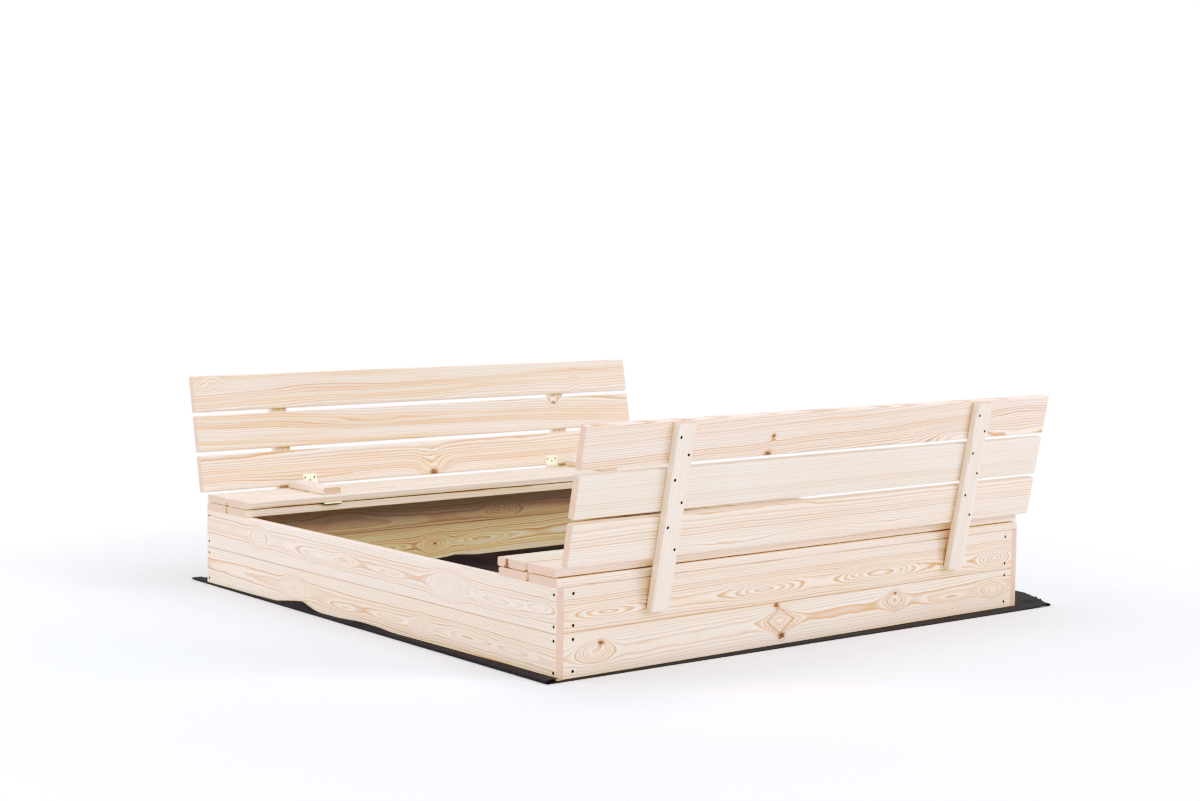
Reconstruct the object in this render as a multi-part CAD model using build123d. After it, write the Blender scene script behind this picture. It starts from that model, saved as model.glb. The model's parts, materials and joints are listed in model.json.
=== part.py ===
from build123d import *
import os
from math import cos, radians, sin

# Square wooden sandbox whose two-part cover folds open into two facing benches with backrests.
# Millimetres, +Z up, origin on the ground under the middle of the box. The benches run along X,
# the front bench on the -Y side. The rear bench is the front one turned half a turn about Z.
# The model is drawn open, with both benches folded out.

# Driving dimensions
box_side = 1400.0          # outside of the box, both ways
board_thickness = 18.0     # every board, plank, cleat and batten
wall_board_width = 92.0    # two of these, one on the other, make a wall
wall_boards = 2
plank_width = 90.0         # seat, lid and back planks
plank_gap = 10.0
strap_width = 50.0         # cleats on the open lids and battens behind the backs
post_width = 45.0
lean = 11.2                # degrees that an open back leans outwards

# The cloth under the box
cloth_width = 1600.0
cloth_length = 1500.0
cloth_thickness = 1.0
cloth_turn = -1.6          # degrees, because it isn't laid quite square

# Rounded long edges
wall_edge = 1.2
plank_edge = 3.5
strap_edge = 5.0

# Seat, lid and back, measured inwards from the outer face of a bench's wall
lid_setback = 4.0          # an open lid lies this far back from the face of the wall
cleat_start = 12.0
cleat_length = 168.0
cleat_place = 450.0        # sideways, from the middle of the bench
batten_place = 453.0
batten_top_inset = 1.5     # the battens stop this far short of the back's top edge
back_shift = 8.0           # the back sits this far sideways of the middle
wall_clearance = 0.3       # an open batten's foot to the wall

# Hinges
plate_thickness = 1.0
plate_reach = 30.0         # hinge pin to the plate's outer edge
plate_corner = 3.0
barrel_radius = 3.0
pin_radius = 1.4
pin_fit = 0.05
knuckles = 5
knuckle_gap = 0.3
close_offset = 1.0         # hinge pin to the wood under one plate
far_offset = 1.3           # and under the other, so the two plates don't touch
seat_hinge_length = 50.0
seat_hinge_place = 459.0
back_hinge_length = 41.0
back_hinge_place = 395.0
back_hinge_shift = 6.0     # the back's two hinges sit this far sideways of the middle
back_pin_setout = 1.5      # the back's hinge pin stands this far outside the wall's face
back_foot = 4.5            # from that pin to the lowest plank of the back

# Screws: shank radius, head radius, length and how deep the head is sunk
wood_screw = (1.7, 3.6, 38.0, 0.3)
strap_screw = (1.7, 3.6, 31.0, 0.3)
hinge_screw = (1.4, 2.7, 13.0, 0.0)
screw_tip = 4.0
slot_width = 0.8           # of the cross in a screw's head
slot_depth = 0.7
slot_share = 0.55          # of the head's width that the cross takes
wall_screw_edge = 14.0     # from the long edge of a wall board
wall_screw_end = 42.0      # from the corner of the box, through a bench's wall into the post
strap_screw_offset = 13.5  # from the middle of a cleat or batten
batten_screw_rows = ((22.0, 71.0), (22.0, 71.0), (22.0, 60.0))
cleat_screw_rows = ((22.0, 68.0), (14.0, 46.0))
hinge_screw_rows = ((-0.34, 21.0), (0.0, 14.5), (0.34, 21.0))
seat_screw_place = 230.0

# Worked out from the driving dimensions
half_side = box_side / 2
wall_bottom = cloth_thickness
wall_top = wall_bottom + wall_boards * wall_board_width
seat_top = wall_top + board_thickness
plank_pitch = plank_width + plank_gap
seat_pin_z = seat_top + far_offset
lid_bottom = seat_pin_z + close_offset
lid_top = lid_bottom + board_thickness
lid_front = lid_setback + plank_pitch + plank_width
seat_front = plank_pitch + plank_width
seat_pin_y = (lid_front + seat_front + plank_gap) / 2
back_pin_z = lid_top + close_offset
back_inner = far_offset + board_thickness
back_length = 3 * plank_width + 2 * plank_gap
batten_tail = (back_pin_setout - wall_clearance + back_inner * cos(radians(lean))) / sin(radians(lean))
batten_length = batten_tail + back_foot + back_length - batten_top_inset


def board(length, width, edge):
    """A board along X, with its width along Y and its long edges rounded."""
    return extrude(Plane.YZ * RectangleRounded(width, board_thickness, edge), length / 2, both=True)


def screw(size):
    """A countersunk screw pointing down, with a cross in its head; its surface is at z 0."""
    shank, head, length, sunk = size
    neck = sunk + head - shank
    profile = Polyline(
        (0, -sunk), (head, -sunk), (shank, -neck), (shank, screw_tip - length), (0, -length), close=True
    )
    body = revolve(Plane.XZ * make_face(profile), Axis.Z)
    arm = Box(2 * slot_share * head, slot_width, 2 * slot_depth)
    return Pos(0, 0, -sunk) * (Pos(0, 0, sunk) * body - arm - Rot(0, 0, 90) * arm)


def screw_hole(size):
    """What a screw and its sunk head take out of the wood."""
    shank, head, length, sunk = size
    neck = sunk + head - shank
    profile = Polyline(
        (0, 1), (head, 1), (head, -sunk), (shank, -neck), (shank, screw_tip - length), (0, -length), close=True
    )
    return revolve(Plane.XZ * make_face(profile), Axis.Z)


def facing(point, outward):
    """A screw's place: a point on a surface, and the way its head faces."""
    return Plane(origin=point, z_dir=outward).location


def screws(size, places):
    return [place * screw(size) for place in places]


def turned(places):
    """The same places half a turn round the middle of the box."""
    return [Rot(0, 0, 180) * place for place in places]


def both_ways(places):
    return places + turned(places)


def drilled(solid, size, places):
    for place in places:
        solid = solid - place * screw_hole(size)
    return solid


def rows(values, pitch):
    """Every value in each row, counted on by one pitch a row."""
    return [[row * pitch + value for value in entry] for row, entry in enumerate(values)]


def knuckle(index, length, radius, gap):
    """One knuckle of a hinge's barrel, as long as its share of the hinge less a gap."""
    share = length / knuckles
    barrel = Rot(0, 90, 0) * Cylinder(radius, share - gap)
    return Pos((index - (knuckles - 1) / 2) * share, 0, 0) * barrel


def hinge_plate(length, offset, first):
    """A hinge plate along +Y from a pin on X, lying on wood that is an offset below the pin."""
    middle = plate_thickness / 2 - offset
    plate = Pos(0, plate_reach / 2, middle) * Box(length, plate_reach, plate_thickness)
    corners = plate.edges().filter_by(Axis.Z).group_by(Axis.Y)[-1]
    plate = fillet(corners, plate_corner)
    for index in range(knuckles):
        if index % 2 == first:
            plate = plate + knuckle(index, length, barrel_radius, knuckle_gap)
        else:
            plate = plate - knuckle(index, length, barrel_radius + knuckle_gap, -knuckle_gap)
    return plate - Rot(0, 90, 0) * Cylinder(pin_radius + pin_fit, 2 * length)


def plate_screws(length, offset):
    """The screw places in a hinge plate, in the plate's own frame."""
    top = plate_thickness - offset
    return [Pos(share * length, reach, top) for share, reach in hinge_screw_rows]


def hinge_frames(pin_y, pin_z, place, shift, x_dir, z_dir):
    """The two frames, left and right, of a plate on a bench's left and right hinge."""
    return [
        Plane(origin=(side * place + shift, pin_y, pin_z), x_dir=x_dir, z_dir=z_dir).location
        for side in (-1, 1)
    ]


def write(name, solids):
    """One sub-part's file: one solid, or a group of separate solids."""
    shape = solids if isinstance(solids, list) else [solids]
    export_step(Compound(label=name, children=shape), f"parts/{name}.step")


def wall_screw_heights():
    """Two screws in each wall board, one near each long edge."""
    return [
        wall_bottom + row * wall_board_width + edge
        for row in range(wall_boards)
        for edge in (wall_screw_edge, wall_board_width - wall_screw_edge)
    ]


def post_screws():
    """Through the front wall into its two corner posts."""
    return [
        facing((side * (half_side - wall_screw_end), -half_side, height), (0, -1, 0))
        for side in (-1, 1)
        for height in wall_screw_heights()
    ]


def end_screws():
    """Through the right wall into the ends of the bench walls' boards."""
    return [
        facing((half_side, side * (half_side - board_thickness / 2), height), (1, 0, 0))
        for side in (-1, 1)
        for height in wall_screw_heights()
    ]


def seat_screws():
    """Down through the seat's planks into the tops of the walls."""
    side = half_side - board_thickness / 2
    spots = [(x, plank_width / 2 + row * plank_pitch) for x in (-side, side) for row in (0, 1)]
    spots = spots + [(x, board_thickness / 2) for x in (-seat_screw_place, seat_screw_place)]
    return [facing((x, y - half_side, seat_top), (0, 0, 1)) for x, y in spots]


def cleat_screws():
    """Through each cleat into the lid's planks, staggered."""
    top = lid_top + board_thickness
    places = []
    for side in (-1, 1):
        for row in rows(cleat_screw_rows, plank_pitch):
            for step, y in enumerate(row):
                x = side * cleat_place + strap_screw_offset * (1 - 2 * step)
                places.append(facing((x, lid_setback + y - half_side, top), (0, 0, 1)))
    return places


def batten_screws():
    """Through each batten into the back's planks, staggered, in the back's own frame."""
    top = back_inner + board_thickness
    places = []
    for side in (-1, 1):
        for row in rows(batten_screw_rows, plank_pitch):
            for step, y in enumerate(row):
                x = back_shift + side * batten_place + strap_screw_offset * (1 - 2 * step)
                places.append(Pos(x, back_foot + y, top))
    return places


def wall(length, row):
    """One board of a wall that faces -Y, with its middle at x 0 and its outer face on y 0."""
    height = wall_bottom + (row + 0.5) * wall_board_width
    return Pos(0, board_thickness / 2, height) * Rot(90, 0, 0) * board(length, wall_board_width, wall_edge)


def post(side):
    """A corner post in the front left or front right corner."""
    x = side * (half_side - board_thickness - post_width / 2)
    y = board_thickness + post_width / 2 - half_side
    height = wall_top - wall_bottom
    return Pos(x, y, wall_bottom + height / 2) * Box(post_width, post_width, height)


# Frames of the hinge plates, and of the back. A back is drawn flat, with its own hinge pin on X at
# the origin, its planks along +Y and its battens on top, and is then stood up at its lean.
seat_y = seat_pin_y - half_side
back_y = -back_pin_setout - half_side
seat_fixed = hinge_frames(seat_y, seat_pin_z, seat_hinge_place, 0, (-1, 0, 0), (0, 0, 1))
seat_moving = hinge_frames(seat_y, seat_pin_z, seat_hinge_place, 0, (1, 0, 0), (0, 0, -1))
lid_plates = hinge_frames(back_y, back_pin_z, back_hinge_place, back_hinge_shift, (1, 0, 0), (0, 0, 1))
back_plates = hinge_frames(0, 0, back_hinge_place, back_hinge_shift, (-1, 0, 0), (0, 0, -1))
back_lean = radians(lean)
back_frame = Plane(
    origin=(0, back_y, back_pin_z), x_dir=(1, 0, 0), z_dir=(0, -cos(back_lean), -sin(back_lean))
).location

# Screw places in the hinge plates
seat_plate_screws = [frame * spot for frame in seat_fixed for spot in plate_screws(seat_hinge_length, far_offset)]
lid_front_screws = [frame * spot for frame in seat_moving for spot in plate_screws(seat_hinge_length, close_offset)]
lid_rear_screws = [frame * spot for frame in lid_plates for spot in plate_screws(back_hinge_length, close_offset)]
back_plate_screws = [frame * spot for frame in back_plates for spot in plate_screws(back_hinge_length, far_offset)]


def bench_walls():
    """The two boards of the front wall and the two front corner posts."""
    length = box_side - 2 * board_thickness
    parts = {}
    for row, level in enumerate(("lower", "upper")):
        piece = Pos(0, -half_side, 0) * wall(length, row)
        piece = drilled(piece, wood_screw, post_screws())
        parts[f"wall_{level}"] = drilled(piece, wood_screw, both_ways(end_screws()))
    top_screws = seat_screws()
    parts["wall_upper"] = drilled(parts["wall_upper"], wood_screw, top_screws)
    parts["post_left"] = drilled(post(-1), wood_screw, post_screws())
    parts["post_right"] = drilled(post(1), wood_screw, post_screws())
    return parts


def bench_seat():
    """The two fixed planks of the front seat, and the hinge plates and pins on them."""
    parts = {}
    for row, name in enumerate(("seat_plank_outer", "seat_plank_inner")):
        y = plank_width / 2 + row * plank_pitch - half_side
        piece = Pos(0, y, seat_top - board_thickness / 2) * board(box_side, plank_width, plank_edge)
        piece = drilled(piece, wood_screw, seat_screws())
        parts[name] = drilled(piece, hinge_screw, seat_plate_screws)
    plate = hinge_plate(seat_hinge_length, far_offset, 0)
    plate = drilled(plate, hinge_screw, plate_screws(seat_hinge_length, far_offset))
    pin = Rot(0, 90, 0) * Cylinder(pin_radius, seat_hinge_length)
    parts["seat_hinge_seat_plates"] = [frame * plate for frame in seat_fixed]
    parts["seat_hinge_pins"] = [frame * pin for frame in seat_fixed]
    return parts


def bench_lid():
    """The lid that folds back over the front seat: planks, cleats, hinge plates, pins and screws."""
    parts = {}
    for row, name in enumerate(("lid_plank_outer", "lid_plank_inner")):
        y = lid_setback + plank_width / 2 + row * plank_pitch - half_side
        piece = Pos(0, y, (lid_top + lid_bottom) / 2) * board(box_side, plank_width, plank_edge)
        piece = drilled(piece, strap_screw, cleat_screws())
        parts[name] = drilled(piece, hinge_screw, lid_front_screws + lid_rear_screws)
    for side, name in ((-1, "lid_cleat_left"), (1, "lid_cleat_right")):
        y = cleat_start + cleat_length / 2 - half_side
        height = lid_top + board_thickness / 2
        piece = Rot(0, 0, 90) * board(cleat_length, strap_width, strap_edge)
        piece = Pos(side * cleat_place, y, height) * piece
        parts[name] = drilled(piece, strap_screw, cleat_screws())
    front = hinge_plate(seat_hinge_length, close_offset, 1)
    front = drilled(front, hinge_screw, plate_screws(seat_hinge_length, close_offset))
    rear = hinge_plate(back_hinge_length, close_offset, 0)
    rear = drilled(rear, hinge_screw, plate_screws(back_hinge_length, close_offset))
    pin = Rot(0, 90, 0) * Cylinder(pin_radius, back_hinge_length)
    parts["seat_hinge_lid_plates"] = [frame * front for frame in seat_moving]
    parts["back_hinge_lid_plates"] = [frame * rear for frame in lid_plates]
    parts["back_hinge_pins"] = [frame * pin for frame in lid_plates]
    parts["lid_hinge_screws"] = screws(hinge_screw, lid_front_screws + lid_rear_screws)
    parts["cleat_screws"] = screws(strap_screw, cleat_screws())
    return parts


def bench_back():
    """The front bench's back, stood up at its lean."""
    flat = {}
    for row, level in enumerate(("lower", "middle", "upper")):
        y = back_foot + plank_width / 2 + row * plank_pitch
        piece = Pos(back_shift, y, far_offset + board_thickness / 2) * board(box_side, plank_width, plank_edge)
        piece = drilled(piece, strap_screw, batten_screws())
        flat[f"back_plank_{level}"] = drilled(piece, hinge_screw, back_plate_screws)
    for side, name in ((-1, "back_batten_left"), (1, "back_batten_right")):
        piece = Rot(0, 0, 90) * board(batten_length, strap_width, strap_edge)
        y = batten_length / 2 - batten_tail
        piece = Pos(back_shift + side * batten_place, y, back_inner + board_thickness / 2) * piece
        flat[name] = drilled(piece, strap_screw, batten_screws())
    plate = hinge_plate(back_hinge_length, far_offset, 1)
    plate = drilled(plate, hinge_screw, plate_screws(back_hinge_length, far_offset))
    flat["back_hinge_back_plates"] = [frame * plate for frame in back_plates]
    flat["back_hinge_screws"] = screws(hinge_screw, back_plate_screws)
    flat["batten_screws"] = screws(strap_screw, batten_screws())
    return {
        name: [back_frame * solid for solid in solids] if isinstance(solids, list) else back_frame * solids
        for name, solids in flat.items()
    }


def side_wall():
    """The two boards of the right wall, which run the whole side of the box."""
    parts = {}
    for row, level in enumerate(("lower", "upper")):
        piece = Rot(0, 0, 90) * (Pos(0, -half_side, 0) * wall(box_side, row))
        piece = drilled(piece, wood_screw, end_screws())
        parts[f"wall_{level}"] = drilled(piece, wood_screw, both_ways(seat_screws()))
    return parts


def main():
    os.makedirs("parts", exist_ok=True)
    write("ground_cloth", Rot(0, 0, cloth_turn) * Pos(0, 0, cloth_thickness / 2) * Box(
        cloth_width, cloth_length, cloth_thickness
    ))
    bench = bench_walls() | bench_seat() | bench_lid() | bench_back()
    sides = side_wall()
    for angle, bench_name, side_name in ((0, "front", "right"), (180, "rear", "left")):
        turn = Rot(0, 0, angle)
        for prefix, parts in ((bench_name, bench), (side_name, sides)):
            for name, solids in parts.items():
                solids = solids if isinstance(solids, list) else [solids]
                write(f"{prefix}_{name}", [turn * solid for solid in solids])
    write("wall_screws", screws(wood_screw, both_ways(post_screws() + end_screws())))
    write("seat_screws", screws(wood_screw, both_ways(seat_screws())))
    write("seat_hinge_screws", screws(hinge_screw, both_ways(seat_plate_screws)))


main()
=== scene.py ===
import json
import math
import random

import bpy
from mathutils import Matrix, Vector, noise


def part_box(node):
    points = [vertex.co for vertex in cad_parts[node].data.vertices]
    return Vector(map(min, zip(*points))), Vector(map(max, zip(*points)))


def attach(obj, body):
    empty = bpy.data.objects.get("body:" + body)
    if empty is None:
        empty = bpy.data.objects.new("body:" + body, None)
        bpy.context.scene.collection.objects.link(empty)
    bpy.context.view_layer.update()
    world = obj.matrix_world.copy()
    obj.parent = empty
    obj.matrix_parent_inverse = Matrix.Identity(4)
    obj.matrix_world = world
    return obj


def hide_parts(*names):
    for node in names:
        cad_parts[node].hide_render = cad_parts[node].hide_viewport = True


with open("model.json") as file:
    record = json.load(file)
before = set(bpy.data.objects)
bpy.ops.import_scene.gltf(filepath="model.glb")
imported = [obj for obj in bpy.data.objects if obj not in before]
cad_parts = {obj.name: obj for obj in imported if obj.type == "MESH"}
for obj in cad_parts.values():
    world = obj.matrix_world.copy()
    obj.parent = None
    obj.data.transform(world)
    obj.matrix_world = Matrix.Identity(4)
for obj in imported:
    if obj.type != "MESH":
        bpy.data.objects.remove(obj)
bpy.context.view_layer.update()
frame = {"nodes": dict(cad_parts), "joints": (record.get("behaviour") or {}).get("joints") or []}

# Metres, in the frame of the CAD model: the box stands on the floor round the origin, its benches along X.
# Sizes of wood figure are given in millimetres and turned into metres with MM.
MM = 0.001
nodes = frame["nodes"]

# An open back leans outwards by what its joint's range lacks of a right angle.
open_angle = max(joint["range_deg"][1] for joint in frame["joints"] if joint["name"] == "front_back_fold")
lean = math.radians(90 - open_angle)


# ---------------------------------------------------------------- shader helpers

class Graph:
    """Adds shader nodes to a node tree. A value given for a socket is a number or another node's output."""

    def __init__(self, tree):
        self.tree = tree

    def add(self, kind, inputs=None, **settings):
        node = self.tree.nodes.new(kind)
        for name, value in settings.items():
            setattr(node, name, value)
        self.fill(node, inputs or {})
        return node

    def fill(self, node, inputs):
        for key, value in inputs.items():
            if isinstance(value, bpy.types.NodeSocket):
                self.tree.links.new(value, node.inputs[key])
            else:
                node.inputs[key].default_value = value

    def math(self, operation, *values):
        return self.add("ShaderNodeMath", dict(enumerate(values)), operation=operation).outputs[0]

    def times(self, first, second):
        return self.math("MULTIPLY", first, second)

    def less(self, first, second):
        return self.math("SUBTRACT", first, second)

    def total(self, *values):
        result = values[0]
        for value in values[1:]:
            result = self.math("ADD", result, value)
        return result

    def reach(self, first, second):
        """The length of a vector with these two parts."""
        return self.math("SQRT", self.total(self.math("POWER", first, 2), self.math("POWER", second, 2)))

    def scaled(self, vector, factors):
        return self.add("ShaderNodeVectorMath", {0: vector, 1: factors}, operation="MULTIPLY").outputs[0]

    def shifted(self, vector, offset):
        return self.add("ShaderNodeVectorMath", {0: vector, 1: offset}, operation="ADD").outputs[0]

    def noise(self, vector, scale=1.0, detail=2.0, roughness=0.5):
        inputs = {"Vector": vector, "Scale": scale, "Detail": detail, "Roughness": roughness}
        return self.add("ShaderNodeTexNoise", inputs).outputs[0]

    def step(self, value, low, high, from_value=0.0, to_value=1.0):
        """A smooth step from one value to another, as value goes from low to high."""
        inputs = {
            "Value": value, "From Min": low, "From Max": high, "To Min": from_value, "To Max": to_value,
        }
        return self.add("ShaderNodeMapRange", inputs, interpolation_type="SMOOTHSTEP").outputs[0]

    def mix(self, factor, first, second, blend="MIX"):
        """A mix of two colours."""
        node = self.add("ShaderNodeMix", data_type="RGBA", blend_type=blend)
        self.fill(node, {0: factor})
        for socket, value in ((6, first), (7, second)):
            self.fill(node, {socket: value if isinstance(value, bpy.types.NodeSocket) else (*value, 1)})
        return node.outputs[2]

    def split(self, vector):
        return self.add("ShaderNodeSeparateXYZ", {0: vector}).outputs

    def grey(self, value):
        return self.add("ShaderNodeCombineXYZ", {0: value, 1: value, 2: value}).outputs[0]


def new_group(name, inputs, outputs):
    """A node group with the sockets that are named, and a graph to fill it with."""
    tree = bpy.data.node_groups.new(name, "ShaderNodeTree")
    kinds = {"vector": "NodeSocketVector", "float": "NodeSocketFloat", "colour": "NodeSocketColor"}
    for direction, sockets in (("INPUT", inputs), ("OUTPUT", outputs)):
        for kind, labels in sockets.items():
            for label in labels:
                tree.interface.new_socket(label, in_out=direction, socket_type=kinds[kind])
    graph = Graph(tree)
    given, made = graph.add("NodeGroupInput"), graph.add("NodeGroupOutput")
    return graph, given.outputs, made


def new_material(name):
    """A material with a Principled shader, its graph and the shader."""
    material = bpy.data.materials.new(name)
    material.use_nodes = True
    return material, Graph(material.node_tree), material.node_tree.nodes["Principled BSDF"]


# ---------------------------------------------------------------- camera, light and floor

CAMERA_PLACE = Vector((-3.172, -3.823, 0.880))
CAMERA_HEADING, CAMERA_PITCH, CAMERA_ROLL = (math.radians(degrees) for degrees in (39.52, -4.66, 0.65))
LENS, SENSOR_WIDTH = 61.67, 36.0        # the camera's, in millimetres

# Softboxes: where each stands, the point it faces, its side, its watts and its colour
SOFTBOXES = {
    "top": ((0.3, -0.2, 4.0), (0, 0, 0), 3.0, 68, (1.0, 1.0, 1.0)),
    "key": ((4.6, -7.2, 4.2), (0, 0, 0.2), 3.6, 342, (1.0, 0.985, 0.965)),
    "side": ((-4.8, 2.4, 2.4), (0, 0, 0.2), 2.4, 104, (0.985, 0.99, 1.0)),
}
SURROUND_COLOUR = (0.99, 0.995, 1.0, 1)
SURROUND_LIGHT = 0.60       # how brightly the surround lights the object
SEEN_WHITE = 1.02           # how bright the surround and the far floor look

FLOOR_COLOUR = (0.822, 0.832, 0.884, 1)
FLOOR_REACH = 30
FLOOR_DROP = 0.3 * MM       # keeps the floor clear of the sheet that lies on it
GREY_SHIFT = (0.15, 0.25, 0)            # the greyest floor lies this far to the left and in front
WHITE_FROM, WHITE_AT = 1.0, 2.2         # from there, the floor starts to whiten and is white

# How the picture is printed: what each level of light turns into, first in all three colours, then in one
RED, BLUE, ALL_COLOURS = 0, 2, 3        # the places of these curves in Blender's list
PRINT_CURVES = {
    ALL_COLOURS: (
        (0.02, 0.012), (0.05, 0.050), (0.072, 0.076), (0.10, 0.118), (0.128, 0.170), (0.172, 0.268),
        (0.225, 0.380), (0.30, 0.480), (0.42, 0.588), (0.54, 0.688), (0.72, 0.802), (0.90, 0.903),
    ),
    RED: (
        (0.05, 0.050), (0.12, 0.109), (0.27, 0.262), (0.45, 0.46), (0.65, 0.665), (0.80, 0.802),
        (0.90, 0.884),
    ),
    BLUE: ((0.05, 0.049), (0.20, 0.172), (0.45, 0.44), (0.70, 0.71)),
}


def make_camera():
    """The camera stands before the near corner, turned to the right, tipped down and rolled a little."""
    data = bpy.data.cameras.new("camera")
    data.lens, data.sensor_width = LENS, SENSOR_WIDTH
    camera = bpy.data.objects.new("camera", data)
    bpy.context.scene.collection.objects.link(camera)
    heading = Matrix.Rotation(-CAMERA_HEADING, 4, "Z")
    pitch = Matrix.Rotation(math.radians(90) + CAMERA_PITCH, 4, "X")
    roll = Matrix.Rotation(CAMERA_ROLL, 4, "Z")
    camera.matrix_world = Matrix.Translation(CAMERA_PLACE) @ heading @ pitch @ roll
    bpy.context.scene.camera = camera


def make_softbox(name, place, aim, size, watts, colour):
    """A square softbox that faces a point."""
    data = bpy.data.lights.new(name, "AREA")
    data.shape, data.size, data.energy, data.color = "SQUARE", size, watts, colour
    light = bpy.data.objects.new(name, data)
    light.location = place
    light.rotation_euler = (Vector(aim) - Vector(place)).to_track_quat("-Z", "Y").to_euler()
    bpy.context.scene.collection.objects.link(light)


def make_surround():
    """A pure white surround, which lights the object more dimly than it looks."""
    world = bpy.data.worlds.new("surround")
    bpy.context.scene.world = world
    world.use_nodes = True
    graph = Graph(world.node_tree)
    seen = graph.add("ShaderNodeLightPath").outputs["Is Camera Ray"]
    strength = graph.math("MULTIPLY_ADD", seen, SEEN_WHITE - SURROUND_LIGHT, SURROUND_LIGHT)
    graph.fill(world.node_tree.nodes["Background"], {"Color": SURROUND_COLOUR, "Strength": strength})


def make_floor():
    """A plain pale floor that turns as white as the surround a metre or two out."""
    corners = [(x * FLOOR_REACH, y * FLOOR_REACH, 0) for x, y in ((-1, -1), (1, -1), (1, 1), (-1, 1))]
    mesh = bpy.data.meshes.new("floor")
    mesh.from_pydata(corners, [], [(0, 1, 2, 3)])
    floor = bpy.data.objects.new("floor", mesh)
    bpy.context.scene.collection.objects.link(floor)
    floor.location.z = -FLOOR_DROP
    material, graph, shader = new_material("floor")
    graph.fill(shader, {"Base Color": FLOOR_COLOUR, "Roughness": 0.7, "Specular IOR Level": 0.2})
    place = graph.shifted(graph.add("ShaderNodeTexCoord").outputs["Object"], GREY_SHIFT)
    distance = graph.add("ShaderNodeVectorMath", {0: place}, operation="LENGTH").outputs["Value"]
    white = graph.step(distance, WHITE_FROM, WHITE_AT)
    glow = graph.add("ShaderNodeEmission", {"Color": (1, 1, 1, 1), "Strength": SEEN_WHITE})
    blend = graph.add("ShaderNodeMixShader", {0: white, 1: shader.outputs[0], 2: glow.outputs[0]})
    graph.fill(material.node_tree.nodes["Material Output"], {"Surface": blend.outputs[0]})
    mesh.materials.append(material)


def develop():
    """A bright, soft-shouldered print: deep shade stays warm and dark, and pale wood doesn't burn out."""
    view = bpy.context.scene.view_settings
    view.view_transform = "Standard"
    view.use_curve_mapping = True
    for place, points in PRINT_CURVES.items():
        for level, printed in points:
            view.curve_mapping.curves[place].points.new(level, printed)
    view.curve_mapping.update()


def make_studio():
    make_surround()
    for name, settings in SOFTBOXES.items():
        make_softbox(name, *settings)
    make_floor()
    develop()


# ---------------------------------------------------------------- wood

# Colours of the pine: the wood between the lines, the lines, and the wood round a branch
PALE, CREAM, PEACH = (0.885, 0.765, 0.67), (0.88, 0.715, 0.58), (0.86, 0.54, 0.365)
TAN_LINE, UMBER_LINE, RED_LINE = (0.66, 0.315, 0.18), (0.52, 0.22, 0.115), (0.46, 0.14, 0.07)
FLUSH = (0.80, 0.44, 0.30)
KNOT_BROWN, KNOT_CRACK, KNOT_RIM = (0.26, 0.10, 0.055), (0.07, 0.035, 0.025), (0.46, 0.17, 0.10)
JOINT_SHADE = (0.36, 0.17, 0.09)
END_PALE, END_LATE = (0.73, 0.455, 0.36), (0.55, 0.29, 0.20)
END_PORE, END_KNOT = (0.50, 0.29, 0.20), (0.24, 0.09, 0.06)

KNOT_LENGTHEN = 0.75        # a knot is a third longer along the board than across it
OUTLINE = 0.64              # where a cornered figure has its outline, as a share of its size squared
KNOT_CONE = 55              # a knot is 1.5 times as wide where it leaves the board
JOINT_FROM, JOINT_AT = 44.3 * MM, 45.4 * MM     # from the middle of a wall board to the joint's shade


def make_figure_group():
    """A branch inside a board: how many growth rings close round it, its redness, its body and its rim."""
    graph, given, made = new_group(
        "figure",
        {
            "vector": ["Board"],
            "float": [
                "Ripple", "Ragged", "Cone", "Along", "Across", "Length", "Width", "Corner",
                "Rings", "Red", "Heart",
            ],
        },
        {"float": ["Rings", "Red", "Inside", "Rim"]},
    )
    x, y, z = graph.split(given["Board"])
    along, across = graph.less(x, given["Along"]), graph.less(y, given["Across"])

    # How far out a point lies: 1 on an oval, or on a diamond where the figure is cornered, both uneven
    long_share = graph.math("ABSOLUTE", graph.math("DIVIDE", along, given["Length"]))
    wide_share = graph.math("ABSOLUTE", graph.math("DIVIDE", across, given["Width"]))
    oval = graph.total(graph.math("POWER", long_share, 2), graph.math("POWER", wide_share, 2))
    diamond = graph.math("POWER", graph.total(long_share, wide_share), 2)
    share = graph.total(
        graph.times(diamond, given["Corner"]),
        graph.times(oval, graph.less(1, given["Corner"])),
    )
    rippled = graph.step(given["Ripple"], 0.25, 0.75, 0.78, 1.28)
    share = graph.times(share, graph.times(rippled, graph.step(given["Ragged"], 0.3, 0.7, 0.95, 1.05)))
    fall = graph.math("EXPONENT", graph.times(share, -1))
    off_outline = graph.math("ABSOLUTE", graph.less(share, OUTLINE))
    outline = graph.times(graph.step(off_outline, 0.03, 0.13, 1, 0), given["Corner"])

    # The knot, which widens through the board, as a share of its radius
    radius = graph.times(given["Heart"], graph.math("MULTIPLY_ADD", z, given["Cone"], 1))
    heart = graph.math("DIVIDE", graph.reach(graph.times(along, KNOT_LENGTHEN), across), radius)
    heart = graph.times(heart, graph.step(given["Ragged"], 0.3, 0.7, 0.7, 1.4))
    rim = graph.times(graph.step(heart, 0.7, 1.0), graph.step(heart, 1.0, 1.7, 1, 0))
    graph.fill(made, {
        "Rings": graph.times(given["Rings"], fall),
        "Red": graph.times(given["Red"], graph.step(share, 0.5, 2.2, 1, 0)),
        "Inside": graph.step(heart, 0.8, 1.1, 1, 0),
        "Rim": graph.math("MAXIMUM", rim, outline),
    })
    return graph.tree


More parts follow.
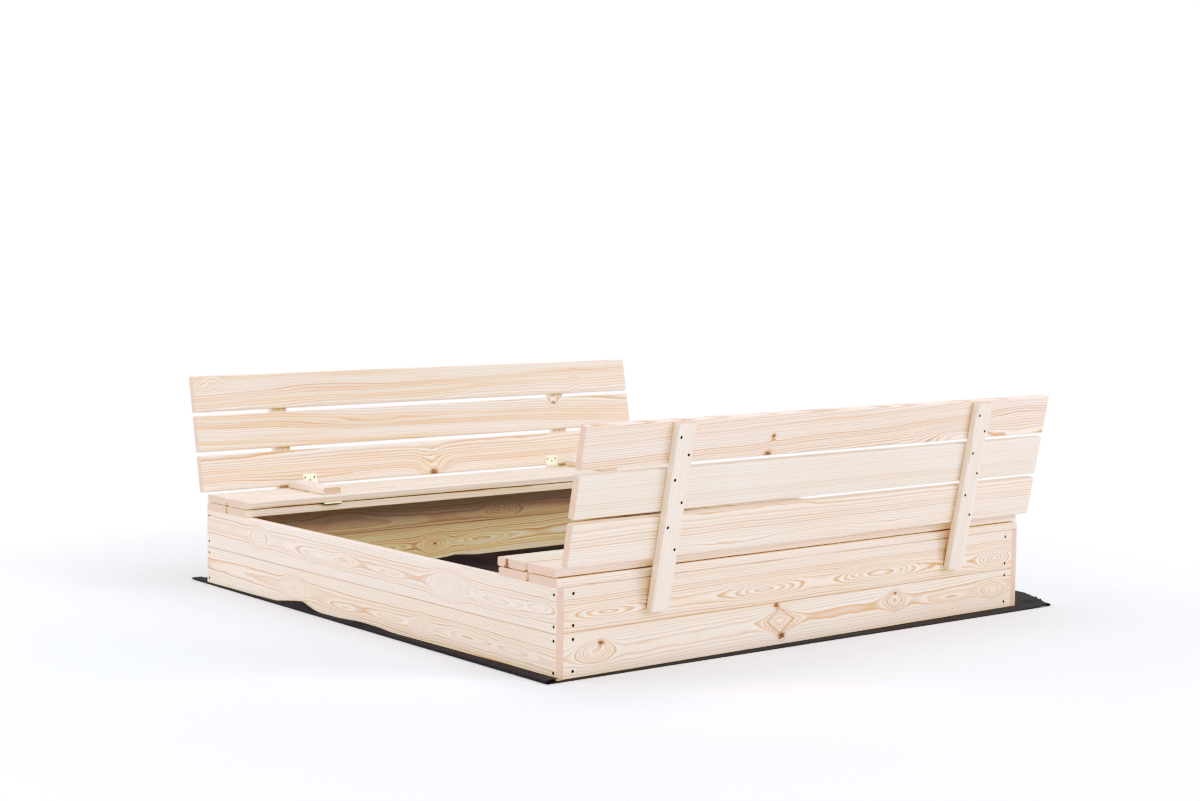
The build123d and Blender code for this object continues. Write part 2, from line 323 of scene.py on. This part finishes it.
def count_rings(graph, given, seeded):
    """How many rings lie between a point and the pith, with slow, middling and small waves in them."""
    x, y, z = graph.split(given["Board"])
    across = graph.less(graph.less(y, given["Pith Across"]), graph.times(x, given["Slope Across"]))
    deep = graph.less(graph.less(z, given["Pith Deep"]), graph.times(x, given["Slope Deep"]))
    slow = graph.less(graph.noise(graph.scaled(seeded, (3.2, 11, 11)), detail=1.5), 0.5)
    middle = graph.less(graph.noise(graph.scaled(seeded, (16, 50, 50))), 0.5)
    small = graph.less(graph.noise(graph.scaled(seeded, (70, 260, 260))), 0.5)
    radius = graph.total(
        graph.reach(across, deep),
        graph.times(slow, given["Wave"]),
        graph.times(middle, 2.0 * MM),
        graph.times(small, 0.25 * MM),
    )
    turns = graph.less(graph.math("DIVIDE", radius, given["Ring"]), given["Rings"])
    uneven = graph.noise(graph.grey(turns), scale=0.5, detail=1)
    return graph.total(turns, graph.times(uneven, 1.3))


def darken_late(graph, turns):
    """Each ring is pale early wood that darkens into a thin late line, some years more than others."""
    phase = graph.math("FRACT", turns)
    ring = graph.math("FLOOR", turns)
    year = graph.add("ShaderNodeTexWhiteNoise", {"W": ring}, noise_dimensions="1D").outputs[0]
    darkening = graph.math("POWER", graph.step(phase, 0.2, 0.95), 1.5)
    late = graph.times(darkening, graph.step(phase, 0.94, 1.0, 1, 0))
    return graph.times(late, graph.math("MULTIPLY_ADD", year, 0.6, 0.45))


def colour_face(graph, given, seeded, turns, late, fibre):
    """The wood along the grain: broad changes of tone, bands of warm wood, late lines, and fibres."""
    streak = graph.noise(graph.scaled(seeded, (2.2, 70, 70)), detail=3)
    patch = graph.noise(graph.scaled(seeded, (1.8, 9, 9)))
    band = graph.noise(graph.grey(turns), scale=0.19, detail=1)
    warm = graph.total(graph.step(streak, 0.45, 0.8, 0, 1.3), graph.step(band, 0.42, 0.72, 0, 1.3))
    base = graph.mix(graph.step(patch, 0.3, 0.75), PALE, CREAM)
    base = graph.mix(graph.times(warm, given["Warmth"]), base, PEACH)
    line = graph.mix(graph.step(patch, 0.25, 0.8), TAN_LINE, UMBER_LINE)
    line = graph.mix(given["Red"], line, RED_LINE)
    strength = graph.total(graph.times(given["Contrast"], 1.2), graph.times(given["Red"], 0.4))
    colour = graph.mix(graph.times(late, strength), base, line)
    colour = graph.mix(graph.times(given["Red"], 0.12), colour, FLUSH)
    return graph.mix(1.0, colour, graph.grey(graph.step(fibre, 0.2, 0.8, 0.95, 1.04)), "MULTIPLY")


def mark_face(graph, given, seeded, colour):
    """The dirty, shaded joint between the two boards of a wall, and the knots."""
    y = graph.split(given["Board"])[1]
    joint = graph.step(graph.times(y, given["Joint"]), JOINT_FROM, JOINT_AT)
    colour = graph.mix(graph.times(joint, 0.7), colour, JOINT_SHADE)
    cracks = graph.noise(graph.scaled(seeded, (300, 380, 380)))
    knot = graph.mix(graph.step(cracks, 0.38, 0.58), KNOT_BROWN, KNOT_CRACK)
    colour = graph.mix(graph.times(given["Inside"], 0.92), colour, knot)
    return graph.mix(graph.times(given["Rim"], 0.7), colour, KNOT_RIM)


def colour_end(graph, given, seeded, late):
    """End grain soaks up light: it is darker and pinker, with open pores."""
    pores = graph.noise(graph.scaled(seeded, (200, 1100, 1100)))
    end = graph.mix(graph.times(late, 0.8), END_PALE, END_LATE)
    end = graph.mix(graph.step(pores, 0.42, 0.7, 0.0, 0.45), end, END_PORE)
    return graph.mix(graph.math("MAXIMUM", given["Inside"], given["Rim"]), end, END_KNOT)


def make_pine_group():
    """Pine cut from a log: growth rings round a pith off the board, pushed aside where branches grew."""
    graph, given, made = new_group(
        "pine",
        {
            "vector": ["Board", "Seed"],
            "colour": ["Tone"],
            "float": [
                "End", "Pith Across", "Pith Deep", "Slope Across", "Slope Deep", "Ring", "Wave", "Contrast",
                "Warmth", "Rings", "Red", "Inside", "Rim", "Joint",
            ],
        },
        {"colour": ["Colour"], "float": ["Roughness", "Height"]},
    )
    seeded = graph.shifted(given["Board"], given["Seed"])
    turns = count_rings(graph, given, seeded)
    late = darken_late(graph, turns)
    fibre = graph.noise(graph.scaled(seeded, (16, 1500, 1500)), detail=3, roughness=0.6)
    colour = colour_face(graph, given, seeded, turns, late, fibre)
    colour = mark_face(graph, given, seeded, colour)
    colour = graph.mix(given["End"], colour, colour_end(graph, given, seeded, late))
    height = graph.total(
        graph.times(late, 0.05 * MM),
        graph.times(fibre, 0.09 * MM),
        graph.times(given["Rim"], -0.25 * MM),
    )
    graph.fill(made, {
        "Colour": graph.mix(1.0, colour, given["Tone"], "MULTIPLY"),
        "Roughness": graph.total(graph.times(late, -0.10), graph.step(fibre, 0.2, 0.8, 0.60, 0.72)),
        "Height": height,
    })
    return graph.tree


def board_frame(name):
    """A board's middle and its own axes: along the grain, across it, and out through its thickness."""
    low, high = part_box(name)
    turn = -1 if name.startswith("rear") else 1
    up_back = Vector((0, -turn * math.sin(lean), math.cos(lean)))
    if "post" in name:
        grain, across = Vector((0, 0, 1)), Vector((1, 0, 0))
    elif "cleat" in name:
        grain, across = Vector((0, 1, 0)), Vector((-1, 0, 0))
    elif "batten" in name:
        grain, across = up_back, Vector((-turn, 0, 0))
    elif "back_plank" in name:
        grain, across = Vector((turn, 0, 0)), up_back
    elif name.startswith(("left", "right")):
        grain, across = Vector((0, -1 if name.startswith("left") else 1, 0)), Vector((0, 0, 1))
    elif "wall" in name:
        grain, across = Vector((turn, 0, 0)), Vector((0, 0, 1))
    else:
        grain, across = Vector((1, 0, 0)), Vector((0, 1, 0))
    return (low + high) / 2, Matrix((grain, across, grain.cross(across))).transposed()


def figure(along, across, length, width, rings, heart=0.0, red=0.0, corner=0.0):
    """One branch's figure: its middle on the board and its reach both ways in millimetres, how many rings
    close round it, the radius of the knot that shows, how red it is, and how much it is cornered."""
    sizes = {"Along": along, "Across": across, "Length": length, "Width": width, "Heart": max(heart, 0.01)}
    metres = {label: size * MM for label, size in sizes.items()}
    return {**metres, "Rings": rings, "Red": red, "Corner": corner}


# Tones that a board's colour is multiplied by
PLAIN_TONE = (1, 1, 1)
STRAP_TONE = (0.985, 0.99, 0.985)
LID_TONE = (0.94, 0.99, 0.99)

# What is seen of single boards: where the log's middle lies, across the board and deep in it, and how it
# slopes; the width of a ring and of the rings' waves; how strong the late lines and the warm bands are; the
# tone; and the figures.
CUTS = {
    "left_wall_upper": dict(pith=(3, -36), ring=3.3, wave=7, contrast=0.8, warmth=0.25, figures=[
        figure(-450, 3, 30, 24, 3.6), figure(-75, 4, 30, 15, 2.2), figure(-160, -4, 110, 15, 2.4),
        figure(335, -1, 50, 32, 6.5), figure(110, -3, 70, 12, 1.5), figure(500, -8, 90, 15, 2.6),
        figure(655, 3, 40, 13, 2),
    ]),
    "left_wall_lower": dict(pith=(-4, -34), ring=3.2, wave=6, contrast=0.8, warmth=0.3, figures=[
        figure(-285, -1, 36, 28, 6), figure(-80, -16, 75, 12, 2), figure(100, -10, 80, 12, 1.6),
        figure(230, -11, 27, 20, 5), figure(400, -6, 80, 13, 2.2), figure(560, -8, 70, 12, 2),
    ]),
    "front_wall_upper": dict(pith=(-14, -26), ring=3.3, wave=5, contrast=1.15, warmth=0.45, figures=[
        figure(-570, -13, 75, 14, 3), figure(-140, -13, 90, 16, 3.6), figure(225, -11, 105, 19, 5),
        figure(620, -17, 40, 25, 5.5),
    ]),
    "front_wall_lower": dict(pith=(4, -40), ring=3.2, wave=6, contrast=0.8, warmth=0.3, figures=[
        figure(-586, 17, 12, 10, 2, heart=3.2, red=0.9), figure(-600, 5, 44, 27, 5, red=0.15),
        figure(-98, 41, 12, 10, 2, heart=3.8, red=0.8), figure(-82, -27, 13, 11, 2, heart=4.4, red=0.8),
        figure(-88, 7, 50, 34, 5, red=0.8, corner=0.9),
        figure(277, 28, 10, 9, 1.5, heart=2.2, red=0.9), figure(275, 12, 32, 22, 4, red=0.8, corner=0.3),
        figure(470, -2, 90, 13, 2), figure(620, -3, 42, 22, 4.5, red=0.35, corner=0.3),
    ]),
    "front_back_plank_upper": dict(
        pith=(-66, -20), slope=(0.035, 0.0), ring=4.4, wave=12, contrast=1.1, warmth=0.4, figures=[
            figure(-190, -2, 13, 11, 2, heart=3.0, red=0.6),
            figure(-200, -41, 18, 14, 2.5, heart=4.6, red=0.6),
            figure(400, -30, 110, 26, 3.5, red=0.15), figure(600, 24, 120, 22, 2, red=0.25),
        ],
    ),
    "front_back_plank_middle": dict(
        tone=(0.965, 0.985, 0.985), pith=(-70, -20), ring=4.2, wave=10, contrast=0.62, warmth=0.15,
        figures=[],
    ),
    "front_back_plank_lower": dict(pith=(52, -34), ring=4.4, wave=12, contrast=0.8, warmth=0.2, figures=[
        figure(-250, -34, 130, 12, 2), figure(180, -36, 150, 12, 2),
    ]),
    "front_lid_plank_inner": dict(tone=LID_TONE, figures=[figure(-700, 14, 12, 10, 2, heart=4.5, red=0.6)]),
    "rear_lid_plank_inner": dict(tone=LID_TONE),
    "rear_lid_plank_outer": dict(tone=LID_TONE),
    "rear_back_plank_upper": dict(
        tone=PLAIN_TONE, pith=(-58, 26), slope=(-0.02, 0), ring=5.0, wave=14, contrast=0.7, warmth=0.8,
        figures=[
            figure(645, 44, 32, 25, 4, red=0.3), figure(-512, 0, 14, 36, 1.5, red=0.35),
            figure(330, 14, 170, 14, 1.5, red=0.25),
        ],
    ),
    "rear_back_plank_middle": dict(
        tone=PLAIN_TONE, pith=(66, 22), slope=(0.03, 0), ring=5.2, wave=14, contrast=0.8, warmth=0.95,
        figures=[
            figure(-428, 30, 20, 15, 2, heart=2.8, red=0.5), figure(180, 6, 220, 13, 2, red=0.4),
        ],
    ),
    "rear_back_plank_lower": dict(
        tone=PLAIN_TONE, pith=(46, 24), ring=4.8, wave=9, contrast=0.95, warmth=0.75, figures=[
            figure(5, -41, 50, 42, 6, red=0.25), figure(5, -40, 14, 12, 1, heart=6, red=0.8),
            figure(420, -34, 200, 16, 2, red=0.2),
        ],
    ),
    # The rear wall's boards are toned yellower, the upper one most: painted warm shade of the inside of the
    # box, where they are seen.
    "rear_wall_upper": dict(
        tone=(0.98, 1.0, 0.93), pith=(-26, 34), ring=3.4, wave=7, contrast=0.6, warmth=0.3, figures=[
            figure(-200, -6, 42, 26, 5.5), figure(320, 12, 120, 16, 2.5),
        ],
    ),
    "rear_wall_lower": dict(
        tone=(1.0, 1.0, 0.965), pith=(-6, 36), ring=3.4, wave=7, contrast=0.9, warmth=0.3, figures=[
            figure(25, -4, 38, 25, 5, red=0.3), figure(25, -4, 10, 8, 1, heart=1.8, red=0.8),
            figure(-130, -2, 80, 14, 3), figure(190, -4, 70, 14, 3),
        ],
    ),
}


def joint_side(name):
    """On which side of a wall board the joint lies: 1 above, -1 below, and 0 for any other board."""
    if "_wall_" not in name:
        return 0
    return 1 if name.endswith("lower") else -1


def usual_cut(name):
    """Where a board comes from in its log, drawn once and for all from its name."""
    draw = random.Random(name)
    strap = "cleat" in name or "batten" in name
    figures = []
    if not strap and "post" not in name:
        for _ in range(draw.randint(1, 3)):
            place = (draw.uniform(-640, 640), draw.uniform(-30, 30))
            figures.append(figure(*place, draw.uniform(35, 90), draw.uniform(14, 28), draw.uniform(2, 5)))
    return {
        "pith": (draw.uniform(-40, 40), draw.choice((-1, 1)) * draw.uniform(26, 60)),
        "slope": (draw.uniform(-0.015, 0.015), draw.uniform(-0.01, 0.01)),
        "ring": draw.uniform(3.2, 4.2) if strap else draw.uniform(3.2, 4.4),
        "wave": draw.uniform(6, 12),
        "contrast": draw.uniform(0.45, 0.6) if strap else draw.uniform(0.65, 0.9),
        "warmth": draw.uniform(0.05, 0.15) if strap else draw.uniform(0.1, 0.35),
        "tone": STRAP_TONE if strap else (1.0, draw.uniform(0.985, 1.0), draw.uniform(0.96, 1.0)),
        "figures": figures,
    }


def add_figures(graph, board, cut, group):
    """The figures of a board taken together: their rings added up, and of the rest the strongest."""
    ripple = graph.noise(graph.scaled(board, (17, 30, 30)))
    ragged = graph.noise(graph.scaled(board, (190, 230, 230)))
    cone = math.copysign(KNOT_CONE, -cut["pith"][1])
    sums = {"Rings": 0.0, "Red": 0.0, "Inside": 0.0, "Rim": 0.0}
    for values in cut["figures"]:
        one = graph.add("ShaderNodeGroup", node_tree=group)
        graph.fill(one, {"Board": board, "Ripple": ripple, "Ragged": ragged, "Cone": cone, **values})
        sums["Rings"] = graph.total(sums["Rings"], one.outputs["Rings"])
        for label in ("Red", "Inside", "Rim"):
            sums[label] = graph.math("MAXIMUM", sums[label], one.outputs[label])
    return sums


def make_wood(name, cut, groups):
    """The wood of one board: where in the log it was cut, and its figures."""
    material, graph, shader = new_material("wood_" + name)
    centre, axes = board_frame(name)
    coordinates = graph.add("ShaderNodeTexCoord").outputs
    place = {"Vector": coordinates["Object"], "Location": centre, "Rotation": axes.to_euler()}
    board = graph.add("ShaderNodeMapping", place, vector_type="TEXTURE").outputs[0]
    directions = {0: coordinates["Normal"], 1: axes.col[0]}
    facing = graph.add("ShaderNodeVectorMath", directions, operation="DOT_PRODUCT")
    draw = random.Random("seed " + name)
    wood = graph.add("ShaderNodeGroup", node_tree=groups["pine"])
    graph.fill(wood, {
        "Board": board,
        "Seed": [draw.uniform(-20, 20) for _ in range(3)],
        "Tone": (*cut["tone"], 1),
        "End": graph.step(graph.math("ABSOLUTE", facing.outputs["Value"]), 0.6, 0.85),
        "Pith Across": cut["pith"][0] * MM,
        "Pith Deep": cut["pith"][1] * MM,
        "Slope Across": cut["slope"][0],
        "Slope Deep": cut["slope"][1],
        "Ring": cut["ring"] * MM,
        "Wave": cut["wave"] * MM,
        "Contrast": cut["contrast"],
        "Warmth": cut["warmth"],
        "Joint": joint_side(name),
        **add_figures(graph, board, cut, groups["figure"]),
    })
    bump = graph.add("ShaderNodeBump", {"Height": wood.outputs["Height"], "Strength": 0.6, "Distance": 1.0})
    graph.fill(shader, {
        "Base Color": wood.outputs["Colour"],
        "Roughness": wood.outputs["Roughness"],
        "Normal": bump.outputs[0],
        "Specular IOR Level": 0.3,
    })
    return material


def paint(node, material):
    node.data.materials.clear()
    node.data.materials.append(material)


def paint_wood():
    groups = {"figure": make_figure_group(), "pine": make_pine_group()}
    for name, node in nodes.items():
        if any(word in name for word in ("_wall_", "_post_", "_plank_", "_cleat_", "_batten_")):
            cut = {**usual_cut(name), **CUTS.get(name, {})}
            paint(node, make_wood(name, cut, groups))


# ---------------------------------------------------------------- metal

# Screw heads: near-black, partly a blackened finish and partly painted shade of the recesses they sit in.
BLACKENED_AND_SHADED = ((0.012, 0.009, 0.007), (0.008, 0.006, 0.005))
ZINC = ((0.62, 0.56, 0.36), (0.57, 0.54, 0.40))


def make_metal(name, colours, roughness, metallic):
    """Metal with slow changes of colour and fine scratches: plated when metallic, and blackened when not, a
    near-black that is partly painted shade.
    """
    material, graph, shader = new_material(name)
    place = graph.add("ShaderNodeTexCoord").outputs["Object"]
    cloud = graph.noise(place, scale=90, detail=3)
    scratch = graph.noise(graph.scaled(place, (300, 2500, 2500)))
    scratched = graph.step(scratch, 0.3, 0.7, roughness - 0.05, roughness + 0.05)
    bump = graph.add("ShaderNodeBump", {"Height": scratch, "Strength": 0.3, "Distance": 0.05 * MM})
    graph.fill(shader, {
        "Base Color": graph.mix(graph.step(cloud, 0.3, 0.7), *colours),
        "Roughness": graph.total(graph.step(cloud, 0.3, 0.7, -0.06, 0.06), scratched),
        "Normal": bump.outputs[0],
        "Metallic": metallic,
        "Specular IOR Level": 0.5 if metallic else 0.2,
    })
    return material


def paint_metal():
    steel = make_metal("screw_steel", BLACKENED_AND_SHADED, 0.62, 0.0)
    zinc = make_metal("hinge_zinc", ZINC, 0.46, 1.0)
    for name, node in nodes.items():
        if "screws" in name:
            paint(node, steel)
        elif "hinge" in name:
            paint(node, zinc)


# ---------------------------------------------------------------- cloth

CLOTH = (1.6, 1.5)          # the size it was cut to
THICKNESS = 0.7 * MM
LOWEST = 0.45 * MM          # the height of the sheet's middle where it lies on the floor
INSIDE = 0.682              # from the middle of the box to a wall's inner face
OUTSIDE = 0.700             # and to its outer face
POST = 0.05                 # the sheet lies flat this far from the inner corners, under the posts

# The left edge is turned back over itself, round a fold that gets tighter from the near end to the far end
FOLD = 27 * MM
FOLD_RADIUS, FOLD_TIGHTER = 3.6 * MM, 2.2 * MM
NEAR_Y, FAR_Y = -0.72, 0.75             # where the near and the far margin's columns are set out

# The near right corner is turned under along a line from its tip, square to the way out to the corner
CORNER_TIP = Vector((0.767, -0.754))
CORNER_OUT = Vector((0.134, -0.074)).normalized()
CORNER_RADIUS = 1.5 * MM
CORNER_BULGE = 1.0 * MM
CORNER_X = 0.78                         # about where the near margin's rows meet that line
BEND_STEP = 1.6 * MM                    # between the columns that go round the bend

# Into how many quads each stretch of the sheet is split, and how many rows its near and far margins have
FLAP_QUADS, FOLD_QUADS, LEFT_QUADS, BOX_QUADS, RIGHT_QUADS, BEND_QUADS = 7, 10, 12, 118, 14, 4
NEAR_ROWS, FAR_ROWS = 5, 8

FLEECE_DARK, FLEECE_DIM = (0.0082, 0.0064, 0.0080), (0.0120, 0.0098, 0.0122)
FLEECE_FIBRE = (0.026, 0.022, 0.027)


def ramp(value, low, high):
    """0 below low, 1 above high and smooth between; high may be the lower one."""
    share = min(1, max(0, (value - low) / (high - low)))
    return share * share * (3 - 2 * share)


def hill(value, start, top, end):
    """Rises smoothly from start to 1 at top, and falls to 0 at end."""
    return ramp(value, start, top) * ramp(value, end, top)


def swell(x, y, along, across, seed):
    """Soft noise from about -1 to 1, with this many waves to a metre each way."""
    return noise.noise(Vector((x * along, y * across, seed)))


# The sheet's four edges: it isn't laid quite square, so they slant

def left_fold(y):
    return -0.7165 + 0.0175 * y


def right_edge(y):
    return 0.853 + 0.017 * y


def near_edge(x):
    return -0.733 - 0.028 * x


def far_edge(x):
    return 0.757 - 0.024 * x


def inside_height(x, y):
    """Inside the box: low swells and creases that end at the walls, and a bump by the rear wall."""
    if INSIDE - abs(x) < POST and INSIDE - abs(y) < POST:
        return LOWEST
    broad = swell(x, y, 2.6, 3.4, 3.1)
    crease = 1 - abs(noise.noise(Vector((x * 5.0 + 0.6 * broad, y * 4.0, 7.7)))) * 2.4
    lift = 3.2 * ramp(broad, -0.3, 0.6) + 3.5 * max(0, crease) ** 3 + 0.7 * swell(x, y, 21, 19, 1.3)
    lift += 8.0 * hill(x, -0.10, 0.035, 0.15) * ramp(y, 0.50, 0.64)
    off_walls = ramp(max(min(INSIDE - abs(x), INSIDE - abs(y)), 0), 0.0, 0.03)
    return LOWEST + max(0, lift) * MM * off_walls


def left_lift(x, y):
    """Beside the left wall: a sharp pucker and a low one before it, both highest against the wall."""
    sharp = max(0, min((0.375 - y) / 0.13, (y - 0.175) / 0.07, 1))
    low = hill(y, 0.12, -0.02, -0.16)
    close = ramp(x, left_fold(y), -OUTSIDE - 0.002) * ramp(-OUTSIDE - x, 0.0, 0.003)
    out = ramp(-OUTSIDE - x, 0.0, 0.004) * ramp(x, left_fold(y), left_fold(y) + 0.012)
    return (19 * sharp + 7 * low) * close + 1.5 * out * (0.5 + swell(x, y, 9, 8, 5.0))


def right_lift(x, y):
    """Beside the right wall: pleats that fan out from the near corner, a swell by it, and soft waves."""
    out = x - OUTSIDE
    pleat = math.sin(math.atan2(y + 0.70, out + 0.03) * 9 + 0.8)
    lift = 2.4 * (0.6 + pleat) * ramp(out, 0.0, 0.03) * ramp(0.16, 0.05, out)
    lift += 2.5 * ramp(out, 0.02, 0.12) * hill(y, -0.74, -0.64, -0.50)
    return lift + 2.0 * ramp(out, 0.01, 0.10) * ramp(swell(x, y, 3, 3.5, 9.0), -0.1, 0.5)


def cloth_height(x, y):
    """How high the sheet's middle lies above the floor."""
    if max(abs(x), abs(y)) < INSIDE:
        return inside_height(x, y)
    if max(abs(x), abs(y)) <= OUTSIDE:
        return LOWEST
    lift = 0.0
    if x < -OUTSIDE:
        lift += left_lift(x, y)
    if x > OUTSIDE:
        lift += right_lift(x, y)
    if y < -OUTSIDE:
        lift += 1.6 * ramp(-OUTSIDE - y, 0.0, 0.02) * ramp(swell(x, y, 4.2, 9, 2.0), -0.2, 0.5)
    if y > OUTSIDE:
        lift += 5.0 * ramp(y - OUTSIDE, 0.0, 0.04) * ramp(swell(x, y, 3.6, 5, 4.0), -0.2, 0.5)
    return LOWEST + max(0, lift) * MM


def turned_under(point):
    """The sheet is a little raised along the corner's line, and what lies beyond it goes underneath."""
    beyond = (point.x - CORNER_TIP.x) * CORNER_OUT.x + (point.y - CORNER_TIP.y) * CORNER_OUT.y
    outside = max(point.x - OUTSIDE, -OUTSIDE - point.y)
    near = ramp(outside, 0.0, 0.02) * ramp(-abs(beyond), -0.10, 0.0)
    if beyond <= 0:
        return point + Vector((0, 0, near * (2 * CORNER_RADIUS + CORNER_BULGE)))
    turn = min(beyond / CORNER_RADIUS, math.pi)
    back = beyond - CORNER_RADIUS * turn
    over = CORNER_RADIUS * (1 + math.cos(turn))
    place = point.xy + CORNER_OUT * (CORNER_RADIUS * math.sin(turn) - back - beyond)
    raised = CORNER_BULGE * ramp(-back, -0.10, 0.0) * (1 - 0.1 * min(1, back / CORNER_RADIUS))
    return Vector((*place, LOWEST + over + raised))


def box_lines():
    """Where rows and columns cross the box: close together at the walls' faces, and even between them."""
    walls = [-OUTSIDE - 1.5 * MM, -OUTSIDE + 1 * MM, -INSIDE - 1 * MM, -INSIDE + 1.5 * MM]
    between = [walls[3] + (-walls[3] - walls[3]) * index / BOX_QUADS for index in range(BOX_QUADS)]
    return walls[:3] + between + [-place for place in reversed(walls)]


def row_places(lines):
    """The rows from near to far: in a margin each is a share of the way across it, and in the box a y."""
    near = [("near", step / NEAR_ROWS) for step in range(NEAR_ROWS)]
    far = [("far", (step + 1) / FAR_ROWS) for step in range(FAR_ROWS)]
    return near + [("box", place) for place in lines] + far


def row_y(kind, value, x, lines):
    if kind == "near":
        return near_edge(x) + (lines[0] - near_edge(x)) * value
    if kind == "far":
        return lines[-1] + (far_edge(x) - lines[-1]) * value
    return value


def column_places(y, corner_y, lines):
    """One row's columns from left to right, each as its x and how far it lies above the sheet under it."""
    fold_x, edge = left_fold(y), right_edge(y)
    radius = FOLD_RADIUS - FOLD_TIGHTER * (y - NEAR_Y) / CLOTH[1]
    places = [(fold_x + FOLD * (1 - step / FLAP_QUADS), 2 * radius) for step in range(FLAP_QUADS)]
    for step in range(FOLD_QUADS):
        angle = math.pi * step / FOLD_QUADS
        places.append((fold_x - radius * math.sin(angle), radius * (1 + math.cos(angle))))
    places += [(fold_x + (lines[0] - fold_x) * step / LEFT_QUADS, 0.0) for step in range(LEFT_QUADS)]
    places += [(place, 0.0) for place in lines]

    # The right margin, with one column along the line where the corner is turned under
    line_x = CORNER_TIP.x - (corner_y - CORNER_TIP.y) * CORNER_OUT.y / CORNER_OUT.x
    start = lines[-1]
    split = min(max(line_x, CORNER_TIP.x), start + 0.85 * (edge - start))
    places += [(start + (split - start) * (step + 1) / RIGHT_QUADS, 0.0) for step in range(RIGHT_QUADS)]
    left_over = edge - split
    bend_step = min(BEND_STEP, left_over / (2 * BEND_QUADS))
    edge_step = (left_over - BEND_QUADS * bend_step) / BEND_QUADS
    places += [(split + bend_step * (step + 1), 0.0) for step in range(BEND_QUADS)]
    places += [(split + bend_step * BEND_QUADS + edge_step * (step + 1), 0.0) for step in range(BEND_QUADS)]
    return places


def sheet_rows():
    """The sheet's points, row by row."""
    lines = box_lines()
    rows = []
    for kind, value in row_places(lines):
        y = {"near": NEAR_Y, "far": FAR_Y, "box": value}[kind]
        corner_y = row_y(kind, value, CORNER_X, lines) if kind == "near" else y
        row = []
        for x, over in column_places(y, corner_y, lines):
            place_y = row_y(kind, value, x, lines)
            height = cloth_height(max(x, left_fold(y)), place_y) + over
            row.append(turned_under(Vector((x, place_y, height))))
        rows.append(row)
    return rows


def make_cloth():
    """The sheet under the box, its left edge turned back over itself and its near right corner under."""
    rows = sheet_rows()
    width = len(rows[0])
    firsts = [row * width + column for row in range(len(rows) - 1) for column in range(width - 1)]
    faces = [(first, first + 1, first + width + 1, first + width) for first in firsts]
    mesh = bpy.data.meshes.new("ground_sheet")
    mesh.from_pydata([point for row in rows for point in row], [], faces)
    mesh.polygons.foreach_set("use_smooth", [True] * len(mesh.polygons))
    sheet = bpy.data.objects.new("ground_sheet", mesh)
    bpy.context.scene.collection.objects.link(sheet)
    solid = sheet.modifiers.new("thickness", "SOLIDIFY")
    solid.thickness, solid.offset = THICKNESS, 0.0
    mesh.materials.append(make_fleece())
    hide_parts("ground_cloth")
    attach(sheet, "box")


def make_fleece():
    """Black non-woven fleece: pressed fibres that lie every way, a few of them paler."""
    material, graph, shader = new_material("fleece")
    place = graph.add("ShaderNodeTexCoord").outputs["Object"]
    directions = ((250, 2200, 400), (2200, 250, 400), (900, 900, 900))
    strands = [graph.noise(graph.scaled(place, factors), detail=2) for factors in directions]
    matted = graph.math("MAXIMUM", graph.math("MAXIMUM", strands[0], strands[1]), strands[2])
    cloud = graph.noise(place, scale=30, detail=3)
    dark = graph.mix(graph.step(cloud, 0.3, 0.7), FLEECE_DARK, FLEECE_DIM)
    bump = graph.add("ShaderNodeBump", {"Height": matted, "Strength": 0.6, "Distance": 0.4 * MM})
    graph.fill(shader, {
        "Base Color": graph.mix(graph.step(matted, 0.55, 0.75), dark, FLEECE_FIBRE),
        "Roughness": graph.step(matted, 0.4, 0.7, 0.72, 0.88),
        "Normal": bump.outputs[0],
        "Specular IOR Level": 0.3,
        "Sheen Weight": 0.03,
        "Sheen Roughness": 0.5,
    })
    return material


make_camera()
make_studio()
paint_wood()
paint_metal()
make_cloth()
